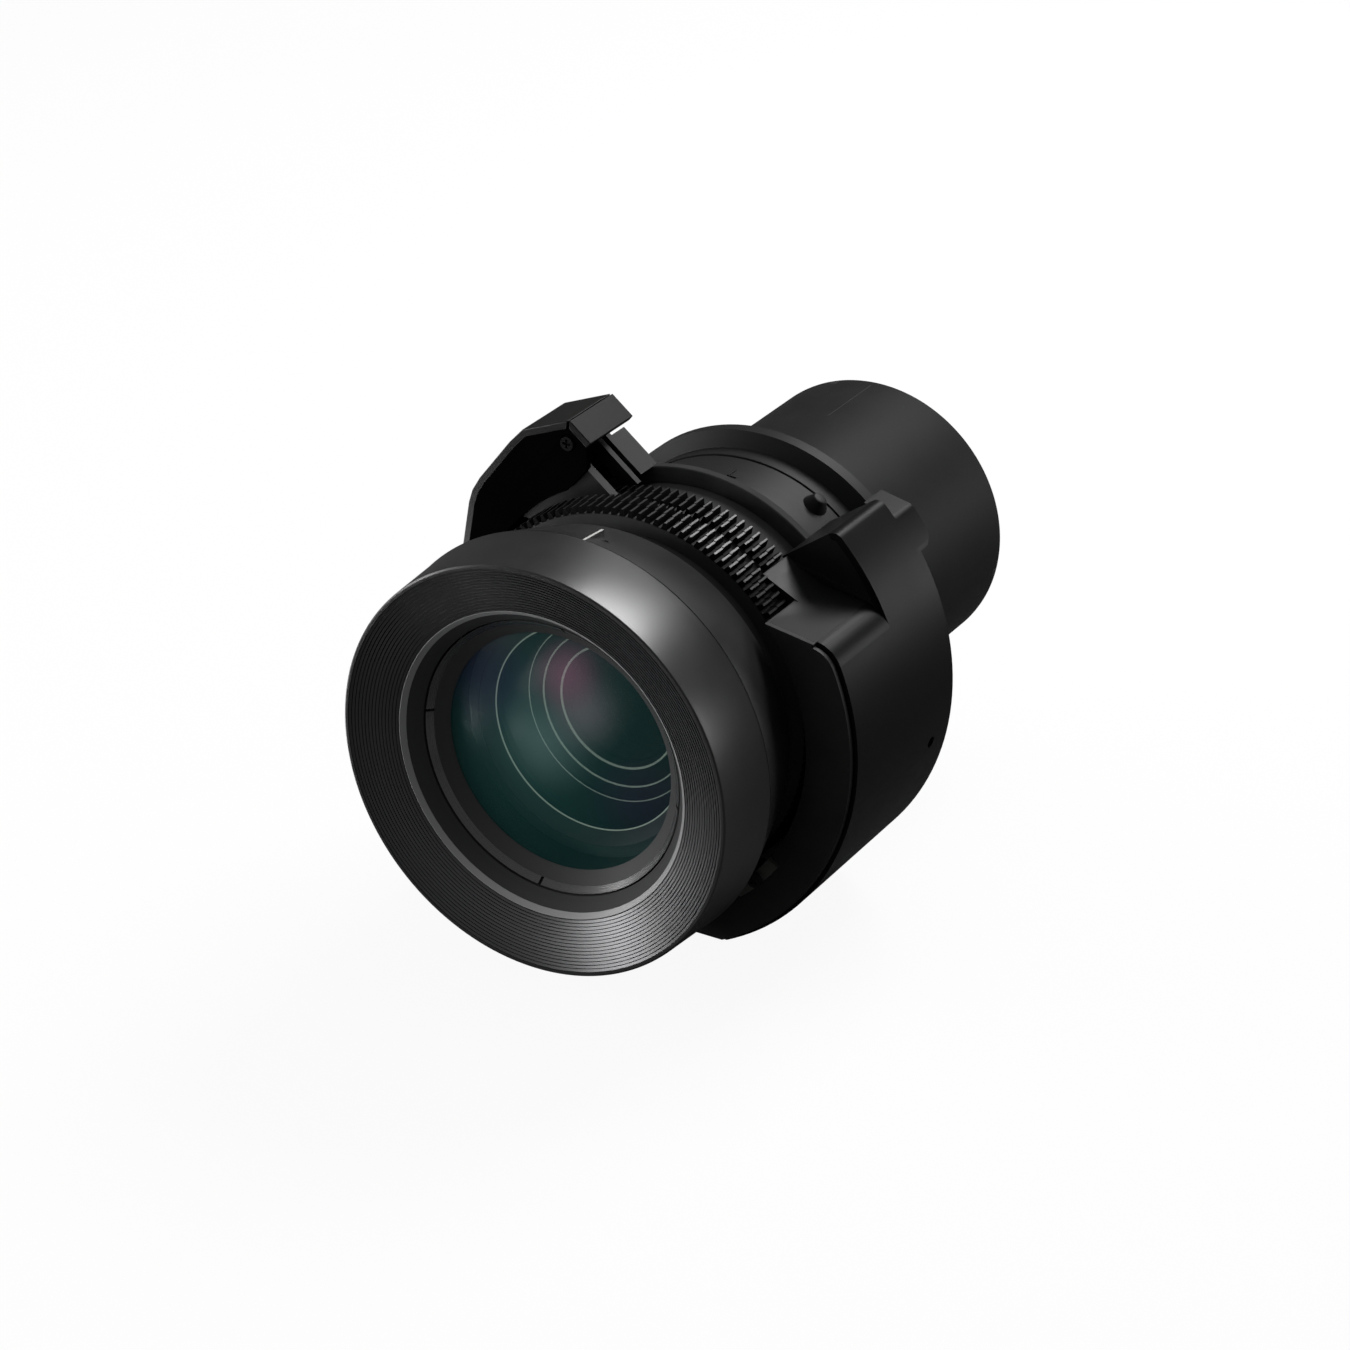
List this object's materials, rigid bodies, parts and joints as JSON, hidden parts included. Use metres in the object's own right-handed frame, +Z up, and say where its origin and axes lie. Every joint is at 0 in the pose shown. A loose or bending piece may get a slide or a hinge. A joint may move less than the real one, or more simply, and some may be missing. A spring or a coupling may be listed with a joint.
{
  "type": "projection lens",
  "caption": "Interchangeable zoom lens for a large projector: concave stepped hood, toothed focus and zoom rings, side covers, seat flange and long rear tube.",
  "frame": {"origin": "centre of the mount flange's rear seat, on the lens axis", "axes": "+Y along the lens axis towards the projector, +Z up, +X to the right as seen from the front"},
  "size_m": [0.1263, 0.1827, 0.1294],
  "materials": {
    "black_metal": "satin black anodised aluminium",
    "matt_black": "matt black paint",
    "baffle_metal": "semi-matt black, finely stepped",
    "satin_plastic": "satin black moulded plastic",
    "gloss_plastic": "half-gloss black moulded plastic",
    "gear_plastic": "dark grey moulded plastic",
    "coated_glass": "multi-coated optical glass with teal and violet reflections",
    "bright_ring": "dark anodised aluminium with a bright edge",
    "grey_metal": "grey anodised aluminium",
    "pin_brass": "turned brass",
    "dark_steel": "black oxide steel",
    "white_mark": "white index line"
  },
  "bodies": {
    "barrel": {"main_barrel": "black_metal", "guide_pins": "black_metal", "mount_flange": "black_metal", "flange_screws": "dark_steel", "rear_barrel": "black_metal", "stop_plate": "matt_black", "rear_cell": "matt_black", "rear_lens": "coated_glass", "rear_retainer": "matt_black", "hood_shell": "satin_plastic", "index_mark": "white_mark", "hood_screws": "dark_steel", "front_baffle": "baffle_metal", "hood_inner_ring": "baffle_metal", "cover_bracket": "black_metal", "bracket_screws": "dark_steel", "right_cover": "gloss_plastic", "right_front_plate": "gloss_plastic", "right_inner_frame": "gloss_plastic", "right_tab": "gloss_plastic", "left_cover": "gloss_plastic", "left_front_plate": "gloss_plastic", "left_end_cap": "gloss_plastic", "left_plate_screw": "dark_steel", "left_block": "satin_plastic", "left_rail": "satin_plastic", "left_guide_plate": "satin_plastic", "stop_bracket": "grey_metal", "stop_screw": "dark_steel"},
    "focus_ring": {"focus_ring": "gear_plastic"},
    "zoom_ring": {"zoom_ring": "gear_plastic"},
    "focus_group": {"focus_cell": "matt_black", "focus_pins": "pin_brass", "retaining_ring": "bright_ring", "front_bezel": "matt_black", "front_lens": "coated_glass", "front_spacer": "grey_metal", "second_lens": "coated_glass", "focus_lock_ring": "matt_black"},
    "variator": {"variator_cell": "matt_black", "variator_pins": "pin_brass", "variator_lens": "coated_glass", "variator_retainer": "matt_black"},
    "compensator": {"compensator_cell": "matt_black", "compensator_pins": "pin_brass", "compensator_lens": "coated_glass", "compensator_retainer": "matt_black"}
  },
  "joints": [
    {"name": "focus_turn", "type": "hinge", "parent": "barrel", "child": "focus_ring", "pos_m": [0, 0, 0], "axis": [0, 1, 0], "range_deg": [-40, 20]},
    {"name": "zoom_turn", "type": "hinge", "parent": "barrel", "child": "zoom_ring", "pos_m": [0, 0, 0], "axis": [0, 1, 0], "range_deg": [0, 65]},
    {"name": "focus_slide", "type": "slide", "parent": "barrel", "child": "focus_group", "axis": [0, 1, 0], "range_m": [-0.0021, 0.00105]},
    {"name": "variator_slide", "type": "slide", "parent": "barrel", "child": "variator", "axis": [0, 1, 0], "range_m": [0, 0.007]},
    {"name": "compensator_slide", "type": "slide", "parent": "barrel", "child": "compensator", "axis": [0, 1, 0], "range_m": [0, 0.0033]}
  ],
  "couplings": [
    {"joint": "focus_slide", "follows": "focus_turn", "m_per_rad": 0.003},
    {"joint": "variator_slide", "follows": "zoom_turn", "m_per_rad": 0.00617},
    {"joint": "compensator_slide", "follows": "zoom_turn", "m_per_rad": 0.0029}
  ]
}
